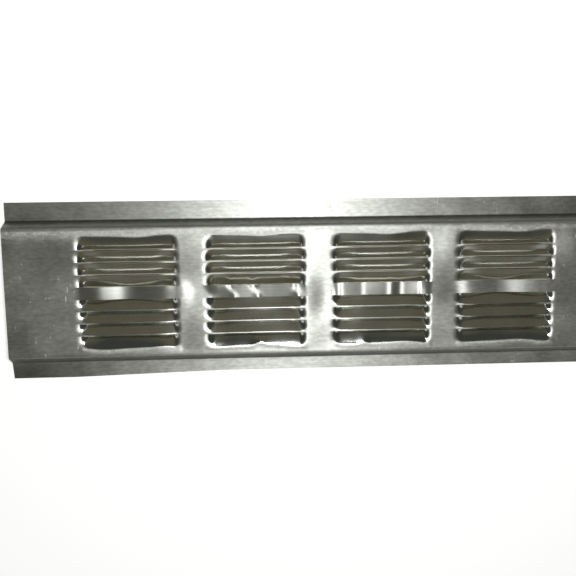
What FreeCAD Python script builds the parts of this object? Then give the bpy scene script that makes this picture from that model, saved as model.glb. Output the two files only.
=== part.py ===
import FreeCAD, Part
import Sketcher
import math
import os

# A strip soffit vent: one length of thin aluminium sheet, rolled to a shallow hat section with a nailing
# flange along each long edge, and pressed with groups of louvres. Each group has rows of louvres above and
# below a raised centre bar, the lower rows a mirror image of the upper ones.
# X runs along the strip, Y across it towards the wide flange, and Z up out of the front panel.
# The flanges' backs lie on Z = 0, and the origin is under the middle of the strip's outline.

# Driving dimensions: name, value in millimetres or as a count or in degrees, what it is.
DIMENSIONS = (
    ("gauge", 0.5, "thickness of the sheet"),
    ("wide_flange", 7.5, "flat width of the wide nailing flange"),
    ("narrow_flange", 5.25, "flat width of the narrow nailing flange"),
    ("web_run", 2.7, "width over which each web climbs from flange to panel"),
    ("step_height", 6.0, "height of the panel's front above the flanges' fronts"),
    ("bend_radius", 0.8, "inside radius of the rolled bends"),
    ("panel_edge", 3.55, "plain panel between a web and the outermost louvre"),
    ("end_margin", 28.5, "plain strip between a cut end and the first louvre"),
    ("group_count", 4, "groups of louvres along the strip"),
    ("group_pitch", 50.8, "spacing of the groups"),
    ("row_count", 4, "louvres on each side of a centre bar"),
    ("louvre_pitch", 4.95, "spacing of the louvres in a group"),
    ("louvre_length", 40.2, "length of a louvre over its rounded ends"),
    ("louvre_depth", 2.2, "drop of a louvre's open edge behind the panel"),
    ("lip_land", 0.35, "flat lip left between a louvre and the next slit"),
    ("slit_taper", 4.0, "degrees by which a louvre's end stops short of its slit"),
    ("open_land", 0.5, "flat along a louvre's open edge"),
    ("bar_width", 5.0, "width of the centre bar"),
    ("bar_rise", 1.0, "height of the centre bar above the panel"),
    ("bar_ramp", 4.5, "length of the ramp at each end of a bar"),
    ("flare_width", 1.55, "spread of the narrow flange's edge at its bent corner"),
    ("flare_length", 85.0, "length of that flange's edge that spreads"),
    ("flare_flat", 25.0, "length of the full spread at the cut end"),
)

# Lengths that follow from the driving dimensions, written as expressions on the sheet's names.
PANEL_TOP = "(Sizes.step_height + Sizes.gauge)"
HALF_PANEL = "(Sizes.panel_edge + Sizes.row_count * Sizes.louvre_pitch + Sizes.bar_width / 2)"
GROUP_SPAN = "((Sizes.group_count - 1) * Sizes.group_pitch)"
STRIP_LENGTH = "(2 * Sizes.end_margin + " + GROUP_SPAN + " + Sizes.louvre_length)"
BLADE_WIDTH = "(Sizes.louvre_pitch - Sizes.lip_land)"
STRAIGHT_LENGTH = "(Sizes.louvre_length - 2 * " + BLADE_WIDTH + ")"
BLADE_FOOT = "(" + PANEL_TOP + " - Sizes.louvre_depth - Sizes.gauge)"
NARROW_EDGE = "(" + HALF_PANEL + " + Sizes.web_run + Sizes.narrow_flange)"

# Point numbers on a sketch edge, and the numbers of the sketch's own axes.
START, END, CENTRE = 1, 2, 3
ACROSS, UP = -1, -2
ORIGIN = (-1, 1)

# How near, in millimetres, an edge passes to a corner that it is matched with.
MATCH = 0.01

document = FreeCAD.newDocument("soffit_vent")
sheet = document.addObject("Spreadsheet::Sheet", "Sizes")
for row, (alias, value, meaning) in enumerate(DIMENSIONS, start=1):
    sheet.set("A%d" % row, alias)
    sheet.set("B%d" % row, str(value))
    sheet.setAlias("B%d" % row, alias)
    sheet.set("C%d" % row, meaning)
document.recompute()

body = document.addObject("PartDesign::Body", "VentStrip")
body.Label = "vent_strip"


def size(alias):
    """One driving dimension as a number, for a sketch's first drawing."""
    return float(sheet.get(alias))


def origin_feature(role):
    """The body's own plane or axis with this role."""
    return next(item for item in body.Origin.OriginFeatures if item.Role == role)


def new_sketch(name, plane, **offsets):
    """A sketch on one of the body's planes, moved by expressions along its own x, y and z."""
    sketch = body.newObject("Sketcher::SketchObject", name)
    sketch.AttachmentSupport = [(origin_feature(plane), "")]
    sketch.MapMode = "FlatFace"
    for axis, expression in offsets.items():
        sketch.setExpression("AttachmentOffset.Base." + axis, expression)
    return sketch


def draw_outline(sketch, corners):
    """A closed outline of straight edges through the corners, edge n from corner n to the next."""
    count = len(corners)
    for index, corner in enumerate(corners):
        add_line(sketch, corner, corners[(index + 1) % count])
    for index in range(count):
        relate(sketch, "Coincident", index, END, (index + 1) % count, START)


def add_arc(sketch, centre, radius, start_angle, end_angle):
    """An arc drawn anticlockwise between two angles."""
    circle = Part.Circle(FreeCAD.Vector(centre[0], centre[1], 0), FreeCAD.Vector(0, 0, 1), radius)
    sketch.addGeometry(Part.ArcOfCircle(circle, start_angle, end_angle), False)


def add_line(sketch, start, end):
    """A straight edge between two points."""
    sketch.addGeometry(Part.LineSegment(FreeCAD.Vector(*start, 0), FreeCAD.Vector(*end, 0)), False)


def relate(sketch, kind, *items):
    """A geometric relation without a size."""
    sketch.addConstraint(Sketcher.Constraint(kind, *items))


def dimension(sketch, kind, items, value, expression):
    """A sized constraint, drawn at its value and bound to an expression."""
    index = sketch.addConstraint(Sketcher.Constraint(kind, *items, value))
    sketch.setExpression("Constraints[%d]" % index, expression)


def draw_section():
    """The strip's section: flange, web, panel, web and flange, one sheet thick."""
    gauge = size("gauge")
    web_run = size("web_run")
    step_height = size("step_height")
    panel_top = step_height + gauge
    half_panel = size("panel_edge") + size("row_count") * size("louvre_pitch") + size("bar_width") / 2
    mitre = gauge * math.tan(math.atan2(step_height, web_run) / 2)
    low = -half_panel - web_run
    high = half_panel + web_run
    low_edge = low - size("narrow_flange")
    high_edge = high + size("wide_flange")
    sketch = new_sketch("SectionSketch", "YZ_Plane")
    draw_outline(sketch, (
        (low_edge, 0), (low_edge, gauge), (low, gauge), (-half_panel, panel_top),
        (half_panel, panel_top), (high, gauge), (high_edge, gauge), (high_edge, 0),
        (high - mitre, 0), (half_panel - mitre, panel_top - gauge),
        (-half_panel + mitre, panel_top - gauge), (low + mitre, 0),
    ))
    low_end, low_flange, low_web, panel, high_web, high_flange, high_end = range(7)
    high_back, high_web_back, panel_back, low_web_back, low_back = range(7, 12)
    for edge in (low_flange, high_flange, high_back, panel_back, low_back):
        relate(sketch, "Horizontal", edge)
    for edge in (low_end, high_end):
        relate(sketch, "Vertical", edge)
    relate(sketch, "Parallel", low_web, low_web_back)
    relate(sketch, "Parallel", high_web, high_web_back)
    relate(sketch, "PointOnObject", low_end, START, ACROSS)
    relate(sketch, "PointOnObject", high_back, START, ACROSS)
    relate(sketch, "Symmetric", panel, START, panel, END, UP)
    dimension(sketch, "DistanceX", (panel, START, panel, END), 2 * half_panel, "2 * " + HALF_PANEL)
    dimension(sketch, "DistanceX", (low_web, START, low_web, END), web_run, "Sizes.web_run")
    dimension(sketch, "DistanceX", (high_web, START, high_web, END), web_run, "Sizes.web_run")
    dimension(sketch, "DistanceY", (low_web, START, low_web, END), step_height, "Sizes.step_height")
    dimension(sketch, "DistanceX", (low_flange, START, low_flange, END), size("narrow_flange"),
              "Sizes.narrow_flange")
    dimension(sketch, "DistanceX", (high_flange, START, high_flange, END), size("wide_flange"),
              "Sizes.wide_flange")
    dimension(sketch, "DistanceY", (low_end, START, low_end, END), gauge, "Sizes.gauge")
    dimension(sketch, "DistanceY", (high_end, END, high_end, START), gauge, "Sizes.gauge")
    dimension(sketch, "DistanceY", (panel_back, END, panel, START), gauge, "Sizes.gauge")
    dimension(sketch, "Distance", (low_web, END, low_web_back), gauge, "Sizes.gauge")
    dimension(sketch, "Distance", (high_web, START, high_web_back), gauge, "Sizes.gauge")
    return sketch


def bend_edges(shape, corners):
    """Names of the long edges that run along the strip through these corners of the section."""
    names = []
    for number, edge in enumerate(shape.Edges, start=1):
        middle = edge.CenterOfMass
        along = edge.BoundBox.XLength > max(edge.BoundBox.YLength, edge.BoundBox.ZLength)
        if along and any(math.hypot(middle.y - y, middle.z - z) < MATCH for y, z in corners):
            names.append("Edge%d" % number)
    return names


def round_bends(name, base, corners, expression):
    """One radius on the bends through these corners of the section."""
    fillet = body.newObject("PartDesign::Fillet", name)
    fillet.Base = (base, bend_edges(base.Shape, corners))
    fillet.setExpression("Radius", expression)
    document.recompute()
    return fillet


def make_strip():
    """The plain rolled strip, its bends rounded inside and outside."""
    section = draw_section()
    strip = body.newObject("PartDesign::Pad", "StripPad")
    strip.Profile = section
    strip.Midplane = True
    strip.setExpression("Length", STRIP_LENGTH)
    document.recompute()
    corners = sorted((vertex.Y, vertex.Z) for vertex in section.Shape.Vertexes)
    bends = corners[2:-2]
    panel_top = size("step_height") + size("gauge")
    outside = [(y, z) for y, z in bends if z < MATCH or z > panel_top - MATCH]
    inside = [corner for corner in bends if corner not in outside]
    rounded = round_bends("InsideBends", strip, inside, "Sizes.bend_radius")
    return round_bends("OutsideBends", rounded, outside, "Sizes.bend_radius + Sizes.gauge")


def draw_blade(name, along):
    """A louvre's section: a slope drawn down from the lip, and a flat along the open edge at the slit.

    The slit is the sketch's upright axis. The slope is as thick as the sheet measured straight down, so the
    drawn metal is a little thinner than the rest.
    """
    gauge = size("gauge")
    depth = size("louvre_depth")
    land_width = size("open_land")
    width = size("louvre_pitch") - size("lip_land")
    sketch = new_sketch(name, "YZ_Plane", x="Sizes.bar_width / 2", y=BLADE_FOOT, z=along)
    draw_outline(sketch, (
        (width, depth + gauge), (land_width, gauge), (0, gauge), (0, 0), (land_width, 0), (width, depth),
    ))
    slope, land, open_edge, land_back, slope_back, root = range(6)
    relate(sketch, "Coincident", land_back, START, *ORIGIN)
    relate(sketch, "Horizontal", land)
    relate(sketch, "Horizontal", land_back)
    relate(sketch, "Vertical", open_edge)
    relate(sketch, "Vertical", root)
    relate(sketch, "Vertical", slope, END, slope_back, START)
    dimension(sketch, "DistanceY", (open_edge, END, open_edge, START), gauge, "Sizes.gauge")
    dimension(sketch, "DistanceY", (root, START, root, END), gauge, "Sizes.gauge")
    dimension(sketch, "DistanceX", (land, END, land, START), land_width, "Sizes.open_land")
    dimension(sketch, "DistanceX", (*ORIGIN, root, END), width, BLADE_WIDTH)
    dimension(sketch, "DistanceY", (*ORIGIN, root, END), depth + gauge, "Sizes.louvre_depth + Sizes.gauge")
    return sketch


def draw_slot(along):
    """The hole that a louvre is drawn from: straight along the slit, rounded at both ends."""
    width = size("louvre_pitch") - size("lip_land")
    length = size("louvre_length")
    straight = length - 2 * width
    sketch = new_sketch("SlotSketch", "XY_Plane", x=along, y="Sizes.bar_width / 2", z=PANEL_TOP)
    add_line(sketch, (-length / 2, 0), (length / 2, 0))
    add_arc(sketch, (straight / 2, 0), width, 0, math.pi / 2)
    add_line(sketch, (straight / 2, width), (-straight / 2, width))
    add_arc(sketch, (-straight / 2, 0), width, math.pi / 2, math.pi)
    slit, right_end, lip, left_end = range(4)
    relate(sketch, "PointOnObject", slit, START, ACROSS)
    relate(sketch, "Symmetric", slit, START, slit, END, UP)
    relate(sketch, "Coincident", slit, END, right_end, START)
    relate(sketch, "PointOnObject", right_end, CENTRE, ACROSS)
    relate(sketch, "Tangent", right_end, END, lip, START)
    relate(sketch, "Horizontal", lip)
    relate(sketch, "Tangent", lip, END, left_end, START)
    relate(sketch, "Coincident", left_end, END, slit, START)
    relate(sketch, "PointOnObject", left_end, CENTRE, ACROSS)
    dimension(sketch, "DistanceX", (slit, START, slit, END), length, "Sizes.louvre_length")
    dimension(sketch, "Radius", (right_end,), width, BLADE_WIDTH)
    return sketch


def cut_through(name, profile):
    """A hole down through the panel from its front."""
    before = body.Tip.Shape.Volume
    hole = body.newObject("PartDesign::Pocket", name)
    hole.Profile = profile
    hole.Type = "ThroughAll"
    document.recompute()
    if hole.Shape.Volume > before - profile.Shape.BoundBox.XLength * size("gauge"):
        raise RuntimeError(name + " cuts nothing")
    return hole


def make_louvre_end(name, along, turns_back):
    """A louvre's rounded end: its section turned about the end of its slit."""
    end = body.newObject("PartDesign::Revolution", name)
    end.Profile = draw_blade(name + "Sketch", along)
    end.ReferenceAxis = (end.Profile[0], ["V_Axis"])
    end.Reversed = turns_back
    end.setExpression("Angle", "90 - Sizes.slit_taper")
    document.recompute()
    return end


def make_first_louvre():
    """The louvre beside the bar in the first group: its hole, its two ends and its straight blade."""
    middle = "-" + GROUP_SPAN + " / 2"
    slot = cut_through("LouvreSlot", draw_slot(middle))
    right = make_louvre_end("RightEnd", middle + " + " + STRAIGHT_LENGTH + " / 2", True)
    left = make_louvre_end("LeftEnd", middle + " - " + STRAIGHT_LENGTH + " / 2", False)
    blade = body.newObject("PartDesign::Pad", "Blade")
    blade.Profile = draw_blade("BladeSketch", middle)
    blade.Midplane = True
    blade.setExpression("Length", STRAIGHT_LENGTH)
    document.recompute()
    return [slot, right, left, blade]


def along_strip(name):
    """A repeat along the strip, once for each group."""
    pattern = body.newObject("PartDesign::LinearPattern", name)
    pattern.Direction = (origin_feature("X_Axis"), [""])
    pattern.setExpression("Length", GROUP_SPAN)
    pattern.setExpression("Occurrences", "Sizes.group_count")
    return pattern


def repeat_louvres(first):
    """The first louvre repeated across its half group, mirrored below the bar and carried along the strip."""
    field = body.newObject("PartDesign::MultiTransform", "LouvreField")
    field.Originals = first
    rows = body.newObject("PartDesign::LinearPattern", "Rows")
    rows.Direction = (origin_feature("Y_Axis"), [""])
    rows.setExpression("Length", "(Sizes.row_count - 1) * Sizes.louvre_pitch")
    rows.setExpression("Occurrences", "Sizes.row_count")
    mirror = body.newObject("PartDesign::Mirrored", "LowerHalf")
    mirror.MirrorPlane = (origin_feature("XZ_Plane"), [""])
    field.Transformations = [rows, mirror, along_strip("Groups")]
    body.Tip = field
    document.recompute()
    return field


def draw_bar_slot(along):
    """The hole under a centre bar."""
    length = size("louvre_length")
    width = size("bar_width")
    sketch = new_sketch("BarSlotSketch", "XY_Plane", x=along, z=PANEL_TOP)
    draw_outline(sketch, (
        (-length / 2, -width / 2), (length / 2, -width / 2),
        (length / 2, width / 2), (-length / 2, width / 2),
    ))
    low, right, high, left = range(4)
    for edge in (low, high):
        relate(sketch, "Horizontal", edge)
    for edge in (right, left):
        relate(sketch, "Vertical", edge)
    relate(sketch, "Symmetric", low, START, high, START, *ORIGIN)
    dimension(sketch, "DistanceX", (low, START, low, END), length, "Sizes.louvre_length")
    dimension(sketch, "DistanceY", (right, START, right, END), width, "Sizes.bar_width")
    return sketch


def draw_bar(along):
    """A centre bar seen from the side: two ramps and a level top, one sheet thick."""
    gauge = size("gauge")
    half = size("louvre_length") / 2
    shoulder = half - size("bar_ramp")
    rise = size("bar_rise")
    sketch = new_sketch("BarSketch", "XZ_Plane", x=along, y="Sizes.step_height")
    draw_outline(sketch, (
        (-half, 0), (-shoulder, rise), (shoulder, rise), (half, 0),
        (half, gauge), (shoulder, rise + gauge), (-shoulder, rise + gauge), (-half, gauge),
    ))
    left_back, top_back, right_back, right_end, right_front, top_front, left_front, left_end = range(8)
    relate(sketch, "PointOnObject", left_back, START, ACROSS)
    relate(sketch, "Symmetric", left_back, START, right_back, END, UP)
    relate(sketch, "Symmetric", top_back, START, top_back, END, UP)
    relate(sketch, "Vertical", right_end)
    relate(sketch, "Vertical", left_end)
    relate(sketch, "Horizontal", right_end, END, left_end, START)
    relate(sketch, "Horizontal", top_front)
    relate(sketch, "Vertical", top_back, START, top_front, END)
    relate(sketch, "Vertical", top_back, END, top_front, START)
    dimension(sketch, "DistanceX", (left_back, START, right_back, END), 2 * half, "Sizes.louvre_length")
    dimension(sketch, "DistanceX", (left_back, START, left_back, END), half - shoulder, "Sizes.bar_ramp")
    dimension(sketch, "DistanceY", (left_back, START, left_back, END), rise, "Sizes.bar_rise")
    dimension(sketch, "DistanceY", (left_end, END, left_end, START), gauge, "Sizes.gauge")
    dimension(sketch, "DistanceY", (top_back, START, top_front, END), gauge, "Sizes.gauge")
    return sketch


def make_bars():
    """The raised bar across the middle of each group."""
    middle = "-" + GROUP_SPAN + " / 2"
    slot = cut_through("BarSlot", draw_bar_slot(middle))
    bar = body.newObject("PartDesign::Pad", "Bar")
    bar.Profile = draw_bar(middle)
    bar.Midplane = True
    bar.setExpression("Length", "Sizes.bar_width")
    document.recompute()
    bars = along_strip("Bars")
    bars.Originals = [slot, bar]
    body.Tip = bars
    document.recompute()


def make_flare():
    """The bent corner of the narrow flange, whose edge spreads towards the left cut end."""
    length = size("flare_length")
    flat = size("flare_flat")
    width = size("flare_width")
    span = (size("group_count") - 1) * size("group_pitch")
    left = -size("end_margin") - (span + size("louvre_length")) / 2
    half_panel = size("panel_edge") + size("row_count") * size("louvre_pitch") + size("bar_width") / 2
    edge = -half_panel - size("web_run") - size("narrow_flange")
    sketch = new_sketch("FlareSketch", "XY_Plane")
    draw_outline(sketch, (
        (left + length, edge), (left, edge), (left, edge - width), (left + flat, edge - width),
    ))
    root, end, outer, slope = range(4)
    relate(sketch, "Horizontal", root)
    relate(sketch, "Horizontal", outer)
    relate(sketch, "Vertical", end)
    dimension(sketch, "DistanceX", (root, END, *ORIGIN), -left, STRIP_LENGTH + " / 2")
    dimension(sketch, "DistanceY", (root, END, *ORIGIN), -edge, NARROW_EDGE)
    dimension(sketch, "DistanceX", (root, END, root, START), length, "Sizes.flare_length")
    dimension(sketch, "DistanceX", (outer, START, outer, END), flat, "Sizes.flare_flat")
    dimension(sketch, "DistanceY", (end, END, end, START), width, "Sizes.flare_width")
    flare = body.newObject("PartDesign::Pad", "FlarePad")
    flare.Profile = sketch
    flare.setExpression("Length", "Sizes.gauge")
    document.recompute()


make_strip()
repeat_louvres(make_first_louvre())
make_bars()
make_flare()
# The strip's two edges differ, so it is moved across to put the origin under the middle of its outline.
body.setExpression("Placement.Base.y", "(Sizes.narrow_flange + Sizes.flare_width - Sizes.wide_flange) / 2")
document.recompute()

faults = [item.Label for item in document.Objects if {"Invalid", "Error"} & set(item.State)]
if faults:
    raise RuntimeError("failed features: " + ", ".join(faults))
strip_shape = body.Shape
if strip_shape.isNull() or not strip_shape.isValid() or len(strip_shape.Solids) != 1:
    raise RuntimeError("the strip is not one valid solid")
os.makedirs("parts", exist_ok=True)
strip_shape.exportStep("parts/" + body.Label + ".step")
box = strip_shape.BoundBox
print("%s %.2f x %.2f x %.2f mm" % (body.Label, box.XLength, box.YLength, box.ZLength))
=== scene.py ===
import bpy
import numpy as np
from mathutils import Matrix, Vector


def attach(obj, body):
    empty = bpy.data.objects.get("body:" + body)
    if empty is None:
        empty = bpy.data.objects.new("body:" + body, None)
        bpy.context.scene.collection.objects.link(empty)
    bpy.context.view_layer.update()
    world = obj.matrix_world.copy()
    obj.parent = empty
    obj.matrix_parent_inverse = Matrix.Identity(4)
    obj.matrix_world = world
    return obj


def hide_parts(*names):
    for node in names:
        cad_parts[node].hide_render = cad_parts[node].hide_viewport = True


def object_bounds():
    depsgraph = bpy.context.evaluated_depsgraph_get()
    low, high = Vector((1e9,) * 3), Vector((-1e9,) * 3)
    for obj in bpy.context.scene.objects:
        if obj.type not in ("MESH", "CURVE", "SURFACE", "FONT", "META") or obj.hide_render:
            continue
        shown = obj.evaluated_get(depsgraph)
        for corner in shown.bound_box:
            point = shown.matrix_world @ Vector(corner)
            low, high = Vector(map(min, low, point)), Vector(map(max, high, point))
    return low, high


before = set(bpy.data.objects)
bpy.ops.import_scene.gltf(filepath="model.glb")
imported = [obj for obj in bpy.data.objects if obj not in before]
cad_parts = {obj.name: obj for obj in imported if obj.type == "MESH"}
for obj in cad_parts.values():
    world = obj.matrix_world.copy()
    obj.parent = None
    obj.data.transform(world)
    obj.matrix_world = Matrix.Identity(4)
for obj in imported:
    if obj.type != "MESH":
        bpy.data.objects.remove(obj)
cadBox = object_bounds()
mm = 0.001
upperSide, lowerSide = 0, 1
print("frame loaded")

# The sheet, in millimetres. x runs along the strip, y across it, and v is y measured from the panel's middle.
sheet = {
    "halfLength": 124.8,
    "wideEdge": 35.7,
    "narrowEdge": -34.15,
    "panelMiddle": -0.35,
    "halfPanel": 25.85,
    "webRun": 2.7,
    "panelTop": 6.5,
    "flangeTop": 0.5,
    "gauge": 0.5,
    "insideBend": 0.8,
    "outsideBend": 1.3,
    "sharpAngle": 50.0,
    "flare": 1.55,
    "flareStart": -39.8,
    "flareFull": -99.8,
    "flangeTilt": 0.35,
    "cornerLift": 1.1,
    "cornerLength": 16.0,
    "calmEdge": 3.0,  # the panel's dents and ripples fade out over this width beside the bends
    "rippleHeight": 0.036,
    # each wave's share of that height, length along, length across and start
    "ripples": ((1.0, 7.3, 11.0, 0.6), (0.8, 4.1, -8.5, 2.1), (0.7, 12.7, 5.2, 4.0)),
    "webStart": 0.02,  # as a share of the step's height, as in the two lists of painted fold shade below
    # painted shade: how dark the fold is coloured at each share of the step's height, on the wide and the
    # narrow side, standing in for the shade in the bends and on the web
    "wideFoldShade": ((0.0, 0.0), (0.01, 1.0), (0.2, 1.0), (0.34, 0.90), (0.61, 0.74), (0.87, 0.90), (0.93, 0.80),
                  (1.0, 0.1)),
    "narrowFoldShade": ((0.0, 0.0), (0.02, 0.9), (0.9, 0.9), (1.0, 0.2)),
    # painted shade on the narrow flange, growing from its start towards the bent left corner
    "cornerShade": 0.7,
    "cornerShadeStart": -80.0,
}

# The louvres: four rows above and four below the bar in each group. Values for two sides start with the upper
# one, and values for four groups with the left one.
louvre = {
    "groupMiddles": (-76.2, -25.4, 25.4, 76.2),
    "rowCount": 4,
    "firstSlit": 2.5,
    "pitch": 4.95,
    "width": 4.6,
    "depth": 2.2,
    "leftLength": 22.2,
    "rightLength": 20.5,
    "leftRun": 5.2,
    "rightRun": 3.4,
    "squareness": 2.6,
    "endTuck": 0.8,
    "tuckStart": 0.35,
    "endShare": 1.3,
    "endWander": 0.2,
    "wanderTurns": (2.1, 1.5),  # by the slit's place, and for the lower side
    # share of the way in from the lip, and slope there
    "plainSlopes": ((0.0, 0.0), (0.05, 1.04), (0.5, 1.08), (0.9, 0.84), (1.0, 0.7)),
    "upperSlopes": ((0.0, 0.0), (0.15, 0.42), (0.55, 0.52), (0.8, 1.0), (1.0, 1.0)),
    "lowerSlopes": ((0.0, 0.0), (0.1, 0.42), (0.3, 0.72), (0.55, 1.1), (1.0, 1.2)),
    "endSlopes": ((0.0, 0.0), (0.18, 0.2), (0.36, 0.5), (0.58, 1.0), (1.0, 1.0)),
    # the outermost bends: how far they sway, and the lower side's notches by group, place, reach and depth
    "softEdge": 1.3,
    "swayAmounts": (0.42, 0.45),
    "swayLengths": (5.2, 2.9),
    "shortSway": 0.4,
    "swayTurns": ((-1.6, -1.4, -1.6, -2.0), (2.9, -2.0, 3.5, -2.0)),
    "edgeNotches": ((1, 1.0, 2.4, 1.1), (2, -7.5, 1.6, 0.7)),
    "rimFade": 1.5,
    "ridgeHeight": 0.15,
    "ridge": (22.9, 1.3),  # place across and reach
    # the lands between rows: place along and height, with each group's own rise at the left
    "landStart": (-20.4, -17.6),
    "landRises": (0.05, 0.12, 0.22, 0.40),
    "landProfile": ((-12.0, 0.38), (0.0, 0.42), (12.0, 0.38), (15.0, 0.26), (17.0, 0.02), (18.3, -0.16),
                    (19.2, -0.12), (20.1, 0.0)),
    "landSoftness": 0.6,
    "landReach": (16.0, 7.0),  # where the blades stop following the lands, and over what length
    # the torn lips: share of the way across the land, droop and scuff there
    "lipProfile": ((0.0, 1.0, 0.8), (0.4, 0.2, 0.8), (1.0, 0.0, 0.0)),
    "lipDroop": 0.10,
    "lipReach": (14.8, 3.0),
    # painted shade on the tops of the lips, by group: strongest along their middle and gone at their ends
    "paintedLipShade": (0.88, 0.68, 0.75, 0.97),
    # painted reflection: how brightly the lands' cut edges are coloured, so that the blades below mirror a
    # bright line
    "paintedCutSheens": (1.0, 1.0, 0.5),  # by land, from the bar out
    "mouthDepth": 0.15,
}

# The bars, from the left. They are kinked: a profile has places along the bar, heights above the panel and
# sideways twists.
bar = {
    "halfWidth": 2.5,
    "slack": 0.01,  # takes in the points on the bar's own edges
    "softness": (2.0, 0.6, 0.35, 2.0),
    "slant": (0.0, 0.45, 0.0, 0.0),
    "roughness": (0.37, 0.32, 0.31, 0.53),
    "profiles": (
        ((-20.1, 0.0, 0.0), (-19.0, 0.1, 0.0), (-16.6, 0.52, 0.03), (-12.2, 0.78, 0.03), (-2.0, -0.72, 0.0),
         (1.4, -0.80, 0.0), (9.0, 0.10, 0.0), (13.5, 0.64, 0.0), (15.7, 0.68, 0.0), (18.9, -0.28, 0.0),
         (20.1, 0.0, 0.0)),
        ((-20.1, 0.0, 0.0), (-18.5, 0.1, 0.10), (-15.5, 0.4, 0.26), (-10.8, 0.60, 0.24), (-9.8, 0.55, 0.0),
         (-8.8, 0.46, 0.18), (-2.2, 0.50, 0.20), (-0.4, 0.42, 0.0), (1.4, 0.34, 0.24), (12.0, 0.40, 0.28),
         (14.2, 0.40, 0.18), (15.6, 0.39, 0.04), (17.2, 0.33, 0.14), (20.1, 0.0, 0.05)),
        ((-20.1, 0.0, 0.0), (-19.2, 0.0, 0.05), (-18.2, 0.08, 0.05), (-17.4, 0.04, 0.05), (-16.4, 0.13, 0.05),
         (-8.2, -0.26, 0.06), (-7.4, -0.16, 0.06), (2.0, -0.24, 0.06), (3.3, -0.04, 0.05), (3.9, -0.04, 0.05),
         (6.8, -0.36, 0.05), (7.4, -0.34, 0.05), (8.3, -0.18, 0.05), (14.6, -0.10, 0.05), (15.5, 0.08, 0.04),
         (17.5, 0.10, 0.0), (20.1, 0.0, 0.0)),
        ((-20.1, 0.0, 0.0), (-19.8, 0.02, 0.05), (-16.8, 0.62, 0.05), (-13.0, 0.45, 0.0), (-5.0, -0.85, 0.0),
         (-3.0, -0.98, 0.0), (0.5, -0.75, 0.0), (4.0, -0.10, 0.0), (8.0, 0.66, 0.0), (11.5, 0.96, 0.0),
         (13.5, 0.92, 0.0), (15.5, 0.75, 0.0), (20.1, 0.0, 0.0)),
    ),
}

# Uneven places in the panel: place along, place across, reach along, reach across, height and slope along.
dents = {
    "fall": 1.4,
    "places": (
        (-56.0, -0.3, 3.8, 4.6, 0.62, 0.0),
        (-51.0, 11.0, 9.0, 6.0, 0.0, 0.05),
        (-51.0, -18.0, 9.0, 9.0, 0.0, 0.11),
        (-1.2, -2.2, 6.6, 9.2, -0.36, -0.15),
        (-0.9, -20.0, 9.0, 6.0, 0.0, -0.06),
        (49.9, 19.0, 9.0, 9.0, 0.0, 0.08),
        (49.9, 0.0, 9.0, 7.0, 0.0, -0.08),
        (99.5, 18.0, 9.0, 9.0, 0.0, 0.13),
        (99.5, 0.0, 8.0, 7.0, 0.0, -0.13),
        (99.5, -14.0, 9.0, 6.0, 0.0, 0.05),
    ),
}

# How rough the metal is. A rim's pair is its place across and its reach, and a polish's pair is the share of
# the louvre's depth where it starts and the share over which it comes in.
finish = {
    "panelRough": 0.52,
    "bladeRough": 0.16,
    "scuffRough": 0.62,
    "bladePolish": (0.005, 0.02),
    "outerPolish": (0.015, 0.06),
    "outerAmounts": (0.9, 1.17),
    "endPolish": (0.07, 0.15),
    "endExtra": 0.22,
    "rimScuff": 0.7,
    "rims": ((23.6, 1.3), (23.0, 0.8)),
    "edgeScuff": 0.6,
    "edgeRim": (24.2, 0.9),
    "leftScuff": 0.4,
    "leftReach": 1.4,
    "leftStart": -60.0,
    "leftLength": 30.0,
}

# The mesh's grid: each group's stops along the strip, how many places lie in each run, and the rows across.
grid = {
    "stops": (-22.6, -14.0, 13.0, 21.0),
    "groupCounts": (23, 34, 21),
    "gapCount": 8,
    "marginCount": 14,
    "flangeRows": 5,
    "bendRows": 5,
    "webRows": 4,
    "edgeRows": 8,
    "bladeSteps": (0.035, 0.09, 0.2, 0.34, 0.5, 0.66, 0.82, 0.93, 1.0),
    "barRows": 6,
    "alongDecimals": 6,
    "mergeDecimals": 5,
}

outerRow = louvre["rowCount"] - 1
tiny = 1e-9
leastDepth = 1e-5


def ramp(value, start, span):
    # 0 up to the start, then a straight rise to 1 over the span
    return np.clip((value - start) / span, 0, 1)


def slopeCurve(slopes, count=400):
    # a rise from 0 to 1 whose slope follows the given values: their running sum, scaled to end at 1
    nodes, values = zip(*slopes)
    place = np.linspace(nodes[0], nodes[-1], count)
    steep = np.interp(place, nodes, values)
    rise = np.concatenate([[0.0], np.cumsum((steep[1:] + steep[:-1]) / 2)])
    rise = rise / rise[-1]
    return lambda t: np.interp(t, place, rise)


plainBlade = slopeCurve(louvre["plainSlopes"])
outerBlades = slopeCurve(louvre["upperSlopes"]), slopeCurve(louvre["lowerSlopes"])
endBlade = slopeCurve(louvre["endSlopes"])


def smoothed(places, values, softness, step=0.1, lineSteps=280, bellSteps=80):
    # a bent line averaged under a bell, which rounds off its corners, as a function of place
    fine = np.linspace(-lineSteps * step, lineSteps * step, 2 * lineSteps + 1)
    bent = np.interp(fine, places, values, left=0.0, right=0.0)
    weights = np.exp(-(np.arange(-bellSteps, bellSteps + 1) * step / softness) ** 2)
    rounded = np.convolve(bent, weights / weights.sum(), mode="same")
    return lambda place: np.interp(place, fine, rounded)


def ripple(x, v):
    # the sheet's slight unevenness: the sines of a few long waves that cross at angles, added together
    waves = 0.0
    for share, alongLength, acrossLength, start in sheet["ripples"]:
        waves = waves + share * np.sin(x / alongLength + v / acrossLength + start)
    return sheet["rippleHeight"] * waves


def dentHeight(x, v):
    # rounded dents, swellings and slanting places added together, each fading out with distance
    height = np.zeros(np.broadcast(x, v).shape)
    for alongPlace, acrossPlace, alongReach, acrossReach, rise, slope in dents["places"]:
        along, across = x - alongPlace, v - acrossPlace
        away = (along / alongReach) ** 2 + (across / acrossReach) ** 2
        height = height + (rise + slope * along) * np.exp(-away ** dents["fall"])
    return height


def flareSpread(x):
    # how far the narrow flange's edge spreads towards its bent corner: a straight rise
    return sheet["flare"] * ramp(sheet["flareStart"] - x, 0, sheet["flareStart"] - sheet["flareFull"])


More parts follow.
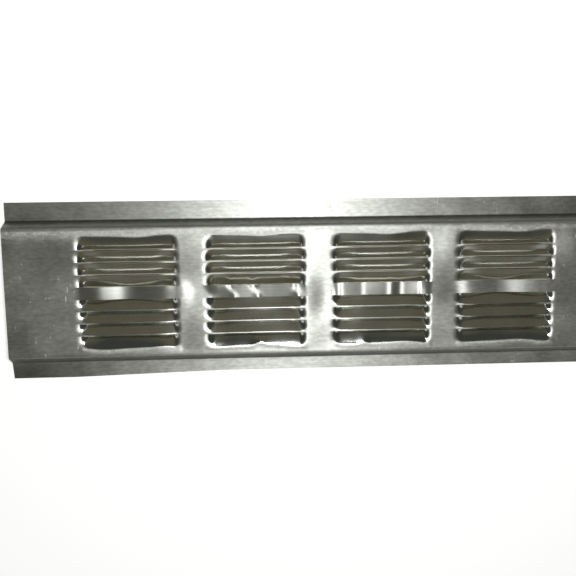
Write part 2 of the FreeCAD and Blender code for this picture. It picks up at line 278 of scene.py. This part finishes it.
def edgeSway(x, middle, side):
    # how far the outermost bend wanders from its straight line, different in each group: two waves along it,
    # and on the lower side less a bell for each notch
    turn = louvre["swayTurns"][side][louvre["groupMiddles"].index(middle)]
    longLength, shortLength = louvre["swayLengths"]
    away = x - middle
    sway = np.sin(away / longLength + turn) + louvre["shortSway"] * np.sin(away / shortLength + 2 * turn)
    sway = louvre["swayAmounts"][side] * sway
    notches = louvre["edgeNotches"] if side == lowerSide else ()
    for group, place, reach, notch in notches:
        sway = sway - notch * np.exp(-((x - louvre["groupMiddles"][group] - place) / reach) ** 2)
    return sway


def slitPlace(row):
    # how far from the panel's middle the slits of a row lie: equal steps outwards
    return louvre["firstSlit"] + row * louvre["pitch"]


def pocketDepth(x, v, row, side):
    # one row of louvres in every group: a fall over the distance in from an outline with rounded corners,
    # which gets rounder as it goes in, so the ends close as parts of cones;
    # also gives how far each place belongs to an end
    slit = slitPlace(row)
    blade = outerBlades[side] if row == outerRow else plainBlade
    squareness = louvre["squareness"]
    slitTurn, sideTurn = louvre["wanderTurns"]
    depth = np.zeros(np.broadcast(x, v).shape)
    atEnd = np.zeros(depth.shape)
    for middle in louvre["groupMiddles"]:
        left = x < middle
        run = np.where(left, louvre["leftRun"], louvre["rightRun"])
        wander = louvre["endWander"] * np.sin(slitTurn * slit + middle + sideTurn * side)
        length = np.where(left, louvre["leftLength"], louvre["rightLength"]) + wander
        width = louvre["width"]
        if row == outerRow:
            width = width + (louvre["softEdge"] + edgeSway(x, middle, side))
        fromLip = np.clip((slit + width - v) / width, 0.0, 1.0)
        tuck = louvre["endTuck"] * ramp(fromLip, louvre["tuckStart"], 1 - louvre["tuckStart"]) ** 2
        fromEnd = np.clip((length - tuck - np.abs(x - middle)) / (run - tuck), 0.0, 1.0)
        lipPart, endPart = 1 - fromLip, 1 - fromEnd
        circle = np.sqrt(lipPart ** 2 + endPart ** 2) + tiny
        square = (lipPart ** squareness + endPart ** squareness) ** (1 / squareness)
        inside = np.clip(1 - circle * (square / circle) ** np.clip(square, 0, 1), 0.0, 1.0)
        share = (endPart / circle) ** louvre["endShare"]
        depth = depth + share * endBlade(inside) + (1 - share) * blade(inside)
        atEnd = atEnd + share * (inside > 0)
    return np.where(depth > leastDepth, depth, 0.0), np.clip(atEnd, 0, 1)


def polishAt(depth, atEnd, row, side):
    # blades are burnished right from the lip, and their ends only below the bend, but there more brightly;
    # the outermost blades have an amount of their own on each side
    blade = ramp(depth, *finish["bladePolish"])
    if row == outerRow:
        blade = finish["outerAmounts"][side] * ramp(depth, *finish["outerPolish"])
    end = ramp(depth, *finish["endPolish"]) * (1 + finish["endExtra"])
    return blade + (end - blade) * atEnd


def landHeight(x):
    # the lands between rows: a smoothed line that rises from the left, by a different amount in each group,
    # and dips before the right end
    height = 0.0
    foot, top = louvre["landStart"]
    for middle, rise in zip(louvre["groupMiddles"], louvre["landRises"]):
        places, heights = zip((foot, 0.0), (top, rise), *louvre["landProfile"])
        height = height + smoothed(places, heights, louvre["landSoftness"])(x - middle)
    return height


def barHeight(x, v):
    # each bar's kinked profile along its group plus its twist times the place across
    height = np.zeros(np.broadcast(x, v).shape)
    bars = zip(louvre["groupMiddles"], bar["profiles"], bar["softness"], bar["slant"])
    for middle, profile, soft, slant in bars:
        places, heights, twists = zip(*profile)
        along = x - middle + slant * v
        height = height + smoothed(places, heights, soft)(along) + smoothed(places, twists, soft)(along) * v
    return height


def alongSamples():
    # places along the strip, closer together at the louvres' ends
    stops, counts = [-sheet["halfLength"]], [grid["marginCount"]]
    for middle in louvre["groupMiddles"]:
        stops.extend(middle + stop for stop in grid["stops"])
        counts.extend([*grid["groupCounts"], grid["gapCount"]])
    stops.append(sheet["halfLength"])
    counts[-1] = grid["marginCount"]
    runs = [np.linspace(start, end, count) for start, end, count in zip(stops, stops[1:], counts)]
    return np.unique(np.round(np.concatenate(runs), grid["alongDecimals"]))


def foldSection(edge):
    # flange, bend, web and bend as points (v, z), from the outer edge in to the panel: a line, an arc of the
    # inside radius, a line and an arc of the outside radius, each touching the next
    rise = sheet["panelTop"] - sheet["flangeTop"]
    turn = np.arctan2(rise, sheet["webRun"])
    foot = sheet["halfPanel"] + sheet["webRun"]
    inner, outer = sheet["insideBend"], sheet["outsideBend"]
    footStart = foot + inner * np.tan(turn / 2)
    headEnd = sheet["halfPanel"] - outer * np.tan(turn / 2)
    sweep = np.linspace(0, turn, grid["bendRows"])
    climb = np.linspace(0, 1, grid["webRows"])[1:-1, None]
    flangeV = np.linspace(edge, footStart, grid["flangeRows"])[:-1]
    flange = np.stack([flangeV, np.full_like(flangeV, sheet["flangeTop"])], 1)
    footZ = sheet["flangeTop"] + inner * (1 - np.cos(sweep))
    footArc = np.stack([footStart - inner * np.sin(sweep), footZ], 1)
    headZ = sheet["panelTop"] - outer * (1 - np.cos(sweep))
    headArc = np.stack([headEnd + outer * np.sin(sweep), headZ], 1)[::-1]
    web = footArc[-1:] + (headArc[:1] - footArc[-1:]) * climb
    return np.concatenate([flange, footArc, web, headArc])


def gridFaces(rows, columns, start):
    # quads of one band of the grid, turned to face up
    index = start + np.arange(rows * columns).reshape(rows, columns)
    corners = (index[:-1, :-1], index[1:, :-1], index[1:, 1:], index[:-1, 1:])
    return np.stack(corners, -1).reshape(-1, 4)


def bandOf(v, z, polish=0.0, paintedShade=0.0, scuff=0.0, droop=0.0, paintedCutSheen=0.0):
    # one band of the sheet: its places across, its heights and its marks, all brought to one shape
    return tuple(np.broadcast_to(part, v.shape) for part in (v, z, polish, paintedShade, scuff, droop, paintedCutSheen))


def foldBand(x, side):
    # the flange and web of one side; the narrow flange leans, and spreads and twists at its bent corner
    edges = sheet["wideEdge"] - sheet["panelMiddle"], sheet["panelMiddle"] - sheet["narrowEdge"]
    foldShades = sheet["wideFoldShade"], sheet["narrowFoldShade"]
    foot = sheet["halfPanel"] + sheet["webRun"]
    fold = foldSection(edges[side])
    v = np.repeat(fold[:, :1], len(x), 1)
    z = np.repeat(fold[:, 1:], len(x), 1)
    up = ramp(fold[:, 1:], sheet["flangeTop"], sheet["panelTop"] - sheet["flangeTop"])
    # painted shade along the fold, darker up the web and into the bends
    paintedShade = np.interp(up, *zip(*foldShades[side]))
    if side == lowerSide:
        onFlange = ramp(v, foot, edges[side] - foot)
        v = v + onFlange * flareSpread(x)[None, :]
        bent = ramp(x, -sheet["halfLength"], sheet["cornerLength"])[None, :]
        lift = sheet["flangeTilt"] + sheet["cornerLift"] * (1 - bent) ** 2
        z = z + lift * (1 - up) * (1 - onFlange)
        # painted shade on the narrow flange, darker towards its bent left corner
        start = sheet["cornerShadeStart"]
        corner = sheet["cornerShade"] * ramp(start - x, 0, start + sheet["halfLength"])[None, :]
        paintedShade = np.maximum(paintedShade, corner * (up < sheet["webStart"]))
    return bandOf(v, z, paintedShade=paintedShade)


def middleShare(x, reach, fade, amounts=None):
    # each group's amount, or 1, along its middle, falling to 0 at the given reach
    share = 0.0
    amounts = amounts or [1.0] * len(louvre["groupMiddles"])
    for middle, amount in zip(louvre["groupMiddles"], amounts):
        share = share + amount * ramp(reach - np.abs(x - middle), 0, fade)
    return share


def halfBands(x, side):
    # one half of the sheet as bands of rows, from its outer edge in to the bar; each band ends at a slit
    level = x[None, :] * 0
    land = landHeight(x)[None, :]
    fold = foldBand(x, side)
    lip = slitPlace(outerRow) + louvre["width"]
    edgeV = np.linspace(fold[0][-1, 0], lip, grid["edgeRows"])[1:, None] + level
    depth, atEnd = pocketDepth(x[None, :], edgeV, outerRow, side)
    polish = polishAt(depth, atEnd, outerRow, side)
    stack = [fold, bandOf(edgeV, sheet["panelTop"] - louvre["depth"] * depth, polish)]
    steps = np.array(grid["bladeSteps"])[:, None]
    landShare, droopShare, tornShare = np.array(louvre["lipProfile"]).T[:, :, None]
    landWidth = louvre["pitch"] - louvre["width"]
    follow = middleShare(x, *louvre["landReach"])[None, :]
    # painted shade on the lips, strongest along each group's middle
    lipShade = middleShare(x, *louvre["lipReach"], louvre["paintedLipShade"])[None, :]
    bands = []
    for row in range(outerRow, -1, -1):
        bladeV = slitPlace(row) + louvre["width"] * (1 - steps) + level
        depth, atEnd = pocketDepth(x[None, :], bladeV, row, side)
        base = land * (1 - depth * (1 - follow))
        if row == outerRow:
            base = base * steps
        polish = polishAt(depth, atEnd, row, side)
        stack.append(bandOf(bladeV, sheet["panelTop"] + base - louvre["depth"] * depth, polish))
        bands.append(tuple(np.concatenate(parts) for parts in zip(*stack)))
        if row > 0:
            mouth = ramp(depth[-1:], 0, louvre["mouthDepth"])
            landV = slitPlace(row) - landShare * landWidth + level
            droop = droopShare * louvre["lipDroop"] * mouth
            # painted reflection: the lips' cut edges coloured bright along each group's middle
            paintedCutSheen = louvre["paintedCutSheens"][row - 1] * middleShare(x, *louvre["lipReach"])[None, :]
            stack = [bandOf(landV, sheet["panelTop"] + land, 0.0, lipShade, tornShare * mouth, droop, paintedCutSheen)]
    sign = -1.0 if side == lowerSide else 1.0
    return [(sign * band[0], *band[1:]) for band in bands]


def barBand(x):
    # the bar between the two halves, following its own profile along
    v = np.linspace(bar["halfWidth"], -bar["halfWidth"], grid["barRows"])[:, None] + 0 * x[None, :]
    return bandOf(v, sheet["panelTop"] + barHeight(x[None, :], v))


def groupShare(x, middle):
    # 1 along one group's rows, falling to 0 at their right ends and as far out on the left
    return ramp(louvre["rightLength"] - np.abs(x - middle), 0, louvre["rimFade"])


def outerRim(x, v, side, place, reach):
    # how near each point is to the outermost bend of one side: a bell across it that follows its wandering
    share = np.zeros(np.broadcast(x, v).shape)
    across = -v if side == lowerSide else v
    for middle in louvre["groupMiddles"]:
        bell = np.exp(-((across - place - edgeSway(x, middle, side)) / reach) ** 2)
        share = share + groupShare(x, middle) * bell
    return share


def finishOf(x, v, polish, scuff):
    # how rough the metal is: rolled on the panel, burnished on the bars and blades, torn at the lips, scuffed
    # at the outermost bends and along the upper edge of the panel, more so towards the left end
    rough = np.full(v.shape, finish["panelRough"])
    onBar = np.abs(v) < bar["halfWidth"] + bar["slack"]
    for middle, barRough in zip(louvre["groupMiddles"], bar["roughness"]):
        rough = rough + (barRough - rough) * groupShare(x, middle) * onBar
    rims = [outerRim(x, v, side, *finish["rims"][side]) for side in (upperSide, lowerSide)]
    leftShare = ramp(finish["leftStart"] - x, 0, finish["leftLength"])
    edgePlace, edgeReach = finish["edgeRim"]
    reach = np.where(v < edgePlace, edgeReach + finish["leftReach"] * leftShare, edgeReach)
    edge = (finish["edgeScuff"] + finish["leftScuff"] * leftShare) * np.exp(-((v - edgePlace) / reach) ** 2)
    rim = np.maximum(np.maximum(*rims), edge)
    rough = rough + (finish["bladeRough"] - rough) * polish
    scuff = np.maximum(scuff, finish["rimScuff"] * rim * (1 - polish))
    return rough + (finish["scuffRough"] - rough) * scuff, scuff


def sheetPoints():
    # every band stacked into one list of points with its quads and marks; points that coincide are merged,
    # so only the slits stay open
    x = alongSamples()
    lower = [tuple(part[::-1] for part in band) for band in halfBands(x, lowerSide)][::-1]
    points, faces, marks, count = [], [], [], 0
    for v, z, polish, paintedShade, scuff, droop, paintedCutSheen in halfBands(x, upperSide) + [barBand(x)] + lower:
        onPanel = ramp(sheet["halfPanel"] - np.abs(v), 0, sheet["calmEdge"])
        ridge = louvre["ridgeHeight"] * outerRim(x[None, :], v, lowerSide, *louvre["ridge"])
        lift = (ripple(x[None, :], v) + dentHeight(x[None, :], v) + ridge) * onPanel
        place = np.stack([np.broadcast_to(x, v.shape), v + sheet["panelMiddle"], z + lift], -1)
        rough, scuff = finishOf(x[None, :], v, polish, scuff)
        points.append(place.reshape(-1, 3))
        marks.append(np.stack([part.reshape(-1) for part in (rough, scuff, paintedShade, paintedCutSheen, droop)], -1))
        faces.append(gridFaces(*v.shape, count))
        count += v.size
    points, marks = np.concatenate(points), np.concatenate(marks)
    rounded = np.round(points, grid["mergeDecimals"])
    merged, first, index = np.unique(rounded, axis=0, return_index=True, return_inverse=True)
    return merged, index.reshape(-1)[np.concatenate(faces)], marks[first]


def layRolling(solid, place, perMetre=4, middle=0.5):
    # the direction of rolling as a flat map: x and y as they are, seen from above
    corner = np.empty(len(solid.loops), dtype=np.int64)
    solid.loops.foreach_get("vertex_index", corner)
    plan = solid.uv_layers.new(name="rolling")
    plan.data.foreach_set("uv", (place[corner, :2] * perMetre + middle).reshape(-1))


def buildStrip():
    # the top of the sheet as one open mesh, given its gauge downwards; the tops of the lips droop last
    points, faces, marks = sheetPoints()
    *materialMarks, droop = marks.T
    mesh = bpy.data.meshes.new("ventStrip")
    mesh.from_pydata(points * mm, [], faces)
    for name, values in zip(("finish", "scuff", "paintedShade", "paintedCutSheen"), materialMarks):
        layer = mesh.attributes.new(name, "FLOAT", "POINT")
        layer.data.foreach_set("value", values.astype(np.float32))
    mesh.materials.append(millAluminium())
    mesh.materials.append(shearedEdge())
    piece = bpy.data.objects.new("ventStrip", mesh)
    bpy.context.scene.collection.objects.link(piece)
    wall = piece.modifiers.new("gauge", "SOLIDIFY")
    wall.thickness = sheet["gauge"] * mm
    wall.offset = -1.0
    wall.use_even_offset = True
    wall.material_offset_rim = 1
    solid = bpy.data.meshes.new_from_object(piece.evaluated_get(bpy.context.evaluated_depsgraph_get()))
    piece.modifiers.clear()
    piece.data = solid
    solid.name = "ventStrip"
    place = np.empty(len(solid.vertices) * 3)
    solid.vertices.foreach_get("co", place)
    place = np.clip(place.reshape(-1, 3), cadBox[0], cadBox[1])
    place[:len(points), 2] -= droop * mm
    solid.vertices.foreach_set("co", place.reshape(-1))
    solid.polygons.foreach_set("use_smooth", np.ones(len(solid.polygons), dtype=bool))
    solid.set_sharp_from_angle(angle=np.radians(sheet["sharpAngle"]))
    layRolling(solid, place)
    return piece


class NodeMaker:
    # short calls for adding and joining the nodes of one tree
    def __init__(self, tree):
        self.tree = tree

    def add(self, kind, inputs=None, **settings):
        node = self.tree.nodes.new(kind)
        for key, value in settings.items():
            setattr(node, key, value)
        for key, value in (inputs or {}).items():
            if isinstance(value, bpy.types.NodeSocket):
                self.tree.links.new(value, node.inputs[key])
            else:
                node.inputs[key].default_value = value
        return node

    def coords(self, kind="Object"):
        return self.add("ShaderNodeTexCoord").outputs[kind]

    def attribute(self, name):
        return self.add("ShaderNodeAttribute", attribute_name=name).outputs["Fac"]

    def noise(self, coords, scale, detail):
        node = self.add("ShaderNodeTexNoise", {"Vector": coords, "Scale": scale, "Detail": detail})
        return node.outputs["Fac"]

    def stretchedNoise(self, coords, scales, detail):
        stretched = self.add("ShaderNodeMapping", {"Vector": coords, "Scale": scales}).outputs["Vector"]
        return self.noise(stretched, 1.0, detail)

    def spread(self, value, span, result=(0.0, 1.0)):
        # one span of values carried over to another and held at its ends
        node = self.add("ShaderNodeMapRange", {"Value": value, "From Min": span[0], "From Max": span[1],
                                               "To Min": result[0], "To Max": result[1]})
        return node.outputs["Result"]

    def speckle(self, coords, scales, detail, span):
        # scattered marks: 0 over most of the surface and 1 where the noise comes above the span
        return self.spread(self.stretchedNoise(coords, scales, detail), span)

    def maths(self, operation, first, second):
        return self.add("ShaderNodeMath", {0: first, 1: second}, operation=operation).outputs[0]

    def times(self, first, *others):
        for other in others:
            first = self.maths("MULTIPLY", first, other)
        return first

    def largest(self, first, *others):
        for other in others:
            first = self.maths("MAXIMUM", first, other)
        return first

    def mix(self, factor, first, second):
        # sockets 0, 6 and 7 take the factor and the two colours, and output 2 gives the mixed colour
        node = self.add("ShaderNodeMix", {0: factor, 6: first, 7: second}, data_type="RGBA")
        return node.outputs[2]


def startMaterial(name):
    material = bpy.data.materials.new(name)
    material.use_nodes = True
    material.node_tree.nodes.clear()
    return material, NodeMaker(material.node_tree)


# The two finishes. A noise is its scale and detail, and a kind of mark its scales, detail and span of noise.
metal = {
    "colour": (0.725, 0.745, 0.69, 1.0),
    # the second colour is that of the painted shade in the folds and on the lips
    "shadeColour": (0.10, 0.105, 0.09, 1.0),
    "scratchColour": (0.97, 0.97, 0.94, 1.0),
    "anisotropy": 0.69,
    "anisotropyTurn": 0.25,
    "grain": ((20.0, 2600.0, 600.0), 4.0),
    "smudge": (90.0, 6.0),
    "fleck": (1100.0, 2.0),
    "mottle": ((420.0, 900.0, 500.0), 2.0, (0.34, 0.66)),
    "specks": ((700.0, 800.0, 600.0), 2.0, (0.685, 0.745)),
    "scratches": ((1100.0, 170.0, 400.0), 2.0, (0.70, 0.75)),
    "grains": ((800.0, 1300.0, 700.0), 2.0, (0.48, 0.62)),
    "noiseSpan": (0.3, 0.7),
    "rolledSpan": (0.35, 0.5),
    "shadeSpan": (0.0, 0.5),
    "patchSpan": (0.42, 0.62),
    "patchAmount": (0.15, 0.9),
    "streakTone": (0.90, 1.05),
    "cloudTone": (0.88, 1.06),
    "mottleTone": (0.86, 1.08),
    "unevenRough": (0.92, 1.10),
    "wornRough": 0.25,
    "grainBump": 0.03,
    "fleckBump": (0.02, 0.12),
    "bumpDepth": 0.0002,
    # the cut edge's painted bright colour and its painted dark colour
    "litCutColour": (0.93, 0.93, 0.90, 1.0),
    "shadedCutColour": (0.30, 0.29, 0.25, 1.0),
    "cutNoise": (1800.0, 3.0),
    "cutRough": (0.46, 0.54),
    "cutTip": (0.0, 0.4),
    "cutAnisotropy": 0.8,
}


def millAluminium():
    # plain rolled aluminium: grain along the strip, polished where pressed, scuffed at the rims, painted
    # shade in the folds and along the middle of the lips, with dim mottling, bright specks and short
    # scratches
    material, make = startMaterial("millAluminium")
    coords = make.coords()
    grain = make.stretchedNoise(coords, *metal["grain"])
    smudge = make.noise(coords, *metal["smudge"])
    fleck = make.noise(coords, *metal["fleck"])
    baseRough = make.attribute("finish")
    scuff = make.attribute("scuff")
    paintedShade = make.attribute("paintedShade")
    rolled = make.spread(baseRough, metal["rolledSpan"])
    # the specks and scratches show on the rolled panel, and not where shade is painted
    clear = make.times(rolled, make.spread(paintedShade, metal["shadeSpan"], (1.0, 0.0)))

    streak = make.spread(grain, metal["noiseSpan"], metal["streakTone"])
    cloud = make.spread(smudge, metal["noiseSpan"], metal["cloudTone"])
    mottle = make.times(make.speckle(coords, *metal["mottle"]), rolled)
    tone = make.times(streak, cloud, make.spread(mottle, (0.0, 1.0), metal["mottleTone"]))
    # painted shade: the colour darkens towards the shade colour in the folds and along the middle of the lips
    paintedShadeColour = make.mix(paintedShade, metal["colour"], metal["shadeColour"])
    shade = make.add("ShaderNodeVectorMath", {0: paintedShadeColour, "Scale": tone}, operation="SCALE").outputs["Vector"]

    marks = make.largest(make.speckle(coords, *metal["specks"]), make.speckle(coords, *metal["scratches"]))
    patchy = make.times(marks, clear, make.spread(smudge, metal["patchSpan"], metal["patchAmount"]))
    grains = make.times(make.speckle(coords, *metal["grains"]), clear, scuff)
    worn = make.largest(patchy, grains)

    uneven = make.times(baseRough, make.spread(smudge, metal["noiseSpan"], metal["unevenRough"]))
    rough = make.maths("ADD", uneven, make.times(worn, metal["wornRough"]))
    rolledShine = make.spread(make.largest(scuff, worn), (0.0, 1.0), (metal["anisotropy"], 0.0))
    grooved = make.add("ShaderNodeBump", {
        "Height": grain,
        "Strength": metal["grainBump"],
        "Distance": metal["bumpDepth"],
    })
    pitted = make.add("ShaderNodeBump", {
        "Height": fleck,
        "Strength": make.spread(scuff, (0.0, 1.0), metal["fleckBump"]),
        "Distance": metal["bumpDepth"],
        "Normal": grooved.outputs["Normal"],
    })
    tangent = make.add("ShaderNodeTangent", direction_type="UV_MAP", uv_map="rolling")
    shader = make.add("ShaderNodeBsdfPrincipled", {
        "Base Color": make.mix(worn, shade, metal["scratchColour"]),
        "Metallic": 1.0,
        "Roughness": rough,
        "Anisotropic": rolledShine,
        "Anisotropic Rotation": metal["anisotropyTurn"],
        "Normal": pitted.outputs["Normal"],
        "Tangent": tangent.outputs["Tangent"],
    })
    make.add("ShaderNodeOutputMaterial", {"Surface": shader.outputs["BSDF"]})
    return material


def shearedEdge():
    # the torn metal of a cut edge, its upper corner rounded over on the side towards the wide flange; its
    # colour is painted light: bright only along the middle of the lips, so that the blades below mirror a
    # bright line there, and painted shade elsewhere
    material, make = startMaterial("shearedEdge")
    torn = make.noise(make.coords(), *metal["cutNoise"])
    facing = make.add("ShaderNodeNewGeometry").outputs["Normal"]
    across = make.add("ShaderNodeSeparateXYZ", {0: facing}).outputs["Y"]
    tip = make.spread(across, (0.0, 1.0), metal["cutTip"])
    over = make.add("ShaderNodeCombineXYZ", {"Z": tip}).outputs[0]
    tipped = make.add("ShaderNodeVectorMath", {0: facing, 1: over}, operation="ADD").outputs["Vector"]
    level = make.add("ShaderNodeVectorMath", {0: tipped}, operation="NORMALIZE").outputs["Vector"]
    alongCut = make.add("ShaderNodeVectorMath", {0: (0.0, 0.0, 1.0), 1: facing}, operation="CROSS_PRODUCT")
    shader = make.add("ShaderNodeBsdfPrincipled", {
        # painted light: the bright cut colour where the mark is set, the shaded cut colour elsewhere
        "Base Color": make.mix(make.attribute("paintedCutSheen"), metal["shadedCutColour"], metal["litCutColour"]),
        "Metallic": 1.0,
        "Roughness": make.spread(torn, metal["noiseSpan"], metal["cutRough"]),
        "Anisotropic": metal["cutAnisotropy"],
        "Normal": level,
        "Tangent": alongCut.outputs["Vector"],
    })
    make.add("ShaderNodeOutputMaterial", {"Surface": shader.outputs["BSDF"]})
    return material


strip = buildStrip()
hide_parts("vent_strip")
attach(strip, "root")
print("strip made:", len(strip.data.polygons), "faces")

# The floor and the room, in metres. The spans are of the squared sideways and the upward part of a direction.
stage = {
    "floorHalf": 3.0,
    "floorDrop": 0.0001,
    "floorColour": (0.80, 0.80, 0.79, 1.0),
    "floorGlow": (0.62, 0.62, 0.62, 1.0),
    # painted shadow on the floor under the strip: the half sizes of its patch, and its dark brown colour
    "paintedShadowHalf": (0.1235, 0.0275),
    "paintedShadowColour": (0.124, 0.108, 0.076, 1.0),
    "horizonColour": (0.75, 0.75, 0.74, 1.0),
    "horizonSpan": (0.22, 0.40),
    "wallColour": (0.138, 0.125, 0.090, 1.0),
    "wallSpan": (0.2, 0.42),
    "zenithColour": (0.058, 0.062, 0.055, 1.0),
}


def paleFloor():
    # matt, with an even tone of its own where it is seen, directly or in the metal, and a painted shadow
    # under the strip: a dark brown glow instead of the pale one
    material, make = startMaterial("paleFloor")
    matt = make.add("ShaderNodeBsdfDiffuse", {"Color": stage["floorColour"]})
    path = make.add("ShaderNodeLightPath").outputs
    seen = make.largest(path["Is Camera Ray"], path["Is Glossy Ray"], path["Is Transmission Ray"])
    parts = make.add("ShaderNodeSeparateXYZ", {0: make.coords()}).outputs
    # painted shadow: under the strip's footprint the floor glows dark brown instead of pale
    beyond = []
    for axis, reach in zip("XY", stage["paintedShadowHalf"]):
        away = make.add("ShaderNodeMath", {0: parts[axis]}, operation="ABSOLUTE").outputs[0]
        beyond.append(make.maths("GREATER_THAN", away, reach))
    floorGlowAndShadow = make.mix(make.largest(*beyond), stage["paintedShadowColour"], stage["floorGlow"])
    glow = make.add("ShaderNodeEmission", {"Color": floorGlowAndShadow, "Strength": seen})
    both = make.add("ShaderNodeAddShader", {0: matt.outputs[0], 1: glow.outputs[0]})
    make.add("ShaderNodeOutputMaterial", {"Surface": both.outputs[0]})
    return material


def makeFloor():
    # one level pale sheet under the strip
    half, level = stage["floorHalf"], -stage["floorDrop"]
    corners = [(-half, -half, level), (half, -half, level), (half, half, level), (-half, half, level)]
    mesh = bpy.data.meshes.new("floor")
    mesh.from_pydata(corners, [], [(0, 1, 2, 3)])
    mesh.materials.append(paleFloor())
    floor = bpy.data.objects.new("floor", mesh)
    bpy.context.scene.collection.objects.link(floor)


def lightRoom():
    # a dim room: dark overhead, browner on its two long sides and pale low down
    world = bpy.data.worlds.new("room")
    world.use_nodes = True
    make = NodeMaker(world.node_tree)
    parts = make.add("ShaderNodeSeparateXYZ", {0: make.coords("Generated")}).outputs
    sideways = make.spread(make.maths("POWER", parts["Y"], 2.0), stage["wallSpan"])
    wall = make.mix(sideways, stage["zenithColour"], stage["wallColour"])
    low = make.spread(parts["Z"], stage["horizonSpan"], (1.0, 0.0))
    room = make.mix(low, wall, stage["horizonColour"])
    make.tree.links.new(room, make.tree.nodes["Background"].inputs["Color"])
    bpy.context.scene.world = world


# The lamp, in metres and watts.
key = {"place": (0.006, 0.041, 0.305), "aim": (0.0, 0.0, 0.0), "size": 0.06, "power": 0.5}


def addKey():
    # one round lamp over the strip, turned to face its middle
    lamp = bpy.data.lights.new("key", "AREA")
    lamp.shape = "DISK"
    lamp.size = key["size"]
    lamp.energy = key["power"]
    holder = bpy.data.objects.new("key", lamp)
    holder.location = key["place"]
    holder.rotation_euler = (Vector(key["aim"]) - Vector(key["place"])).to_track_quat("-Z", "Y").to_euler()
    bpy.context.scene.collection.objects.link(holder)


# The camera: its place in millimetres, its turns in degrees, and its focal length and frame in pixels.
view = {
    "place": (-27.6, 43.545, 303.99),
    "pitch": 8.23,
    "yaw": 2.83,
    "roll": 0.64,
    "focal": 750.0,
    "frame": 576.0,
    "sensor": 36.0,
    "nearest": 0.01,
}


def addCamera():
    # turned about its own upright, then its level axis, then its line of sight
    lens = bpy.data.cameras.new("camera")
    lens.sensor_width = view["sensor"]
    lens.lens = view["focal"] / view["frame"] * lens.sensor_width
    lens.clip_start = view["nearest"]
    turn = (
        Matrix.Rotation(np.radians(view["roll"]), 3, "Z")
        @ Matrix.Rotation(np.radians(view["pitch"]), 3, "X")
        @ Matrix.Rotation(np.radians(view["yaw"]), 3, "Y")
    )
    camera = bpy.data.objects.new("camera", lens)
    camera.matrix_world = Matrix.Translation(Vector(view["place"]) * mm) @ turn.transposed().to_4x4()
    bpy.context.scene.collection.objects.link(camera)
    bpy.context.scene.camera = camera


makeFloor()
lightRoom()
addKey()
addCamera()
bpy.context.scene.view_settings.view_transform = "Standard"
print("stage set")
